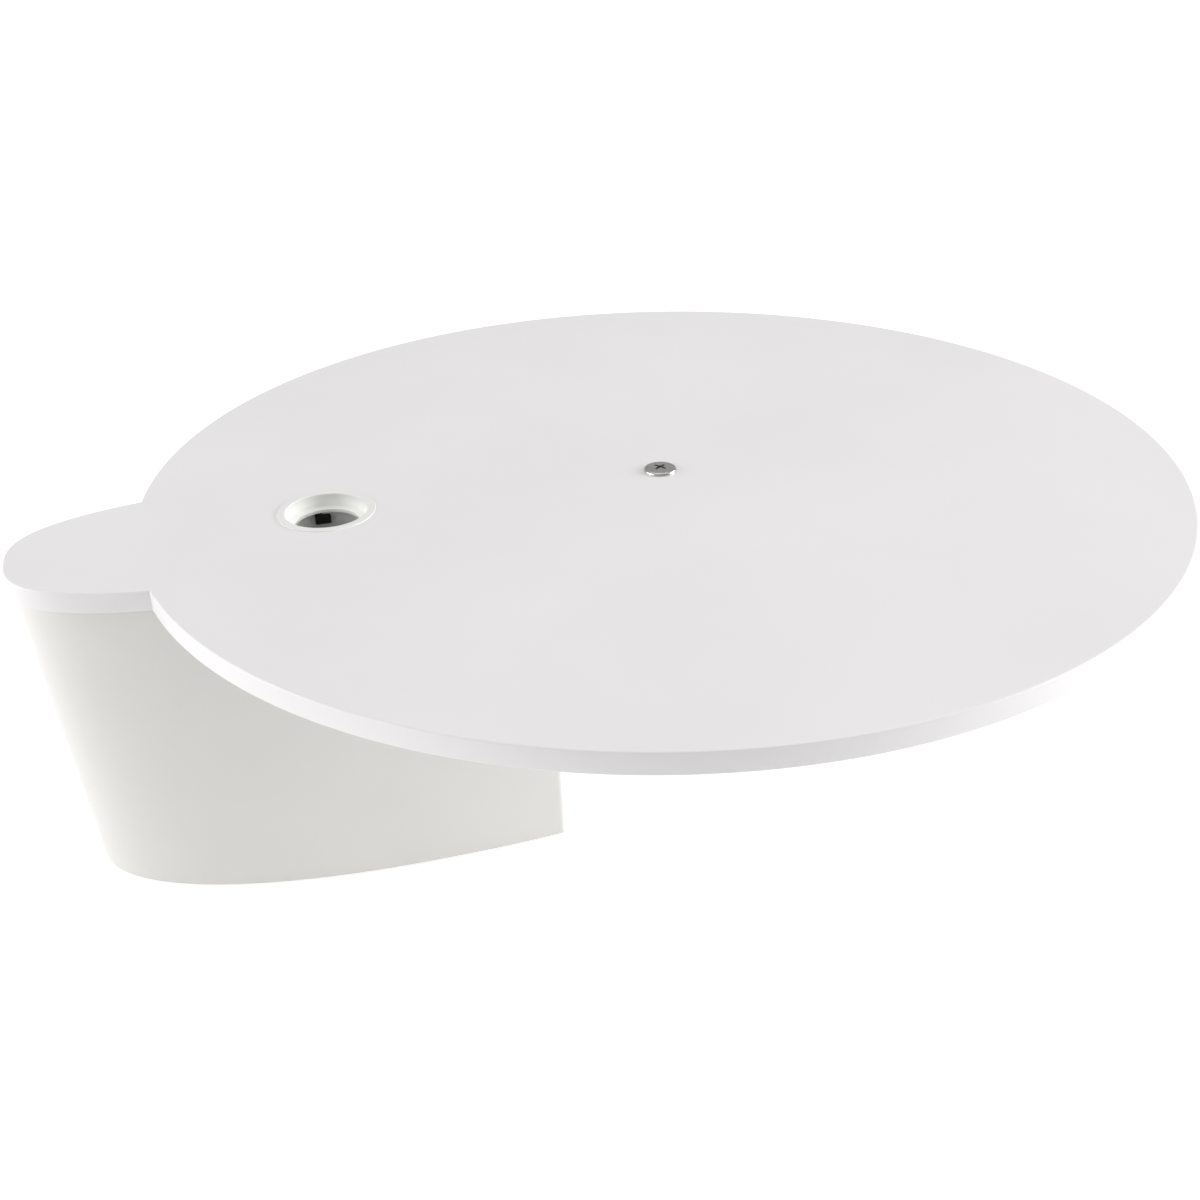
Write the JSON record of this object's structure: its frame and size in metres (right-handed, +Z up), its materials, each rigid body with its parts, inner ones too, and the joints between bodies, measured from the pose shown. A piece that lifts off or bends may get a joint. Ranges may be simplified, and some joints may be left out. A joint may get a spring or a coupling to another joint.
{
  "type": "lazy susan turntable",
  "caption": "Swivelling round board on a ball-bearing hub, with a thumb-shaped ear, a cable hole and a deep tapered housing hung below the ear.",
  "frame": {"origin": "centre of the hub's mounting face, on the swivel axis", "axes": "+Z up along the swivel axis, -X towards the ear and its housing"},
  "size_m": [0.4453, 0.4, 0.1276],
  "materials": {
    "board_white": "smooth satin white",
    "housing_white": "fine satin white",
    "grommet_white": "glossy, slightly warm white",
    "screw_nickel": "bright nickel plated",
    "screw_steel": "zinc plated",
    "race_steel": "turned",
    "plate_steel": "dark grey powder coat",
    "ball_steel": "polished",
    "cage_nylon": "natural nylon",
    "hub_metal": "turned",
    "bushing_bronze": "sintered bronze",
    "insert_brass": "machined",
    "clip_black": "black nylon"
  },
  "bodies": {
    "hub": {"base_hub": "hub_metal", "pivot_bushing": "bushing_bronze", "lower_race": "race_steel", "lower_race_screws": "screw_steel"},
    "ball_ring": {"ball_cage": "cage_nylon", "bearing_balls": "ball_steel"},
    "turntable": {"board": "board_white", "centre_screw": "screw_nickel", "pivot_sleeve": "race_steel", "thrust_washer": "cage_nylon", "retaining_washer": "screw_steel", "pivot_nut": "screw_steel", "upper_race": "race_steel", "upper_race_screws": "screw_steel", "swivel_plate": "plate_steel", "swivel_plate_screws": "screw_steel", "plate_inserts": "insert_brass", "housing_shell": "housing_white", "housing_screws": "screw_steel", "housing_inserts": "insert_brass", "housing_cover": "housing_white", "housing_cover_screws": "screw_steel", "cable_grommet": "grommet_white", "cable_clip": "clip_black"}
  },
  "joints": [
    {"name": "board_spin", "type": "hinge", "parent": "hub", "child": "turntable", "pos_m": [0, 0, 0], "axis": [0, 0, 1], "continuous": true},
    {"name": "ball_ring_spin", "type": "hinge", "parent": "hub", "child": "ball_ring", "pos_m": [0, 0, 0], "axis": [0, 0, 1], "continuous": true}
  ],
  "couplings": [
    {"joint": "ball_ring_spin", "follows": "board_spin", "ratio": 0.5}
  ]
}
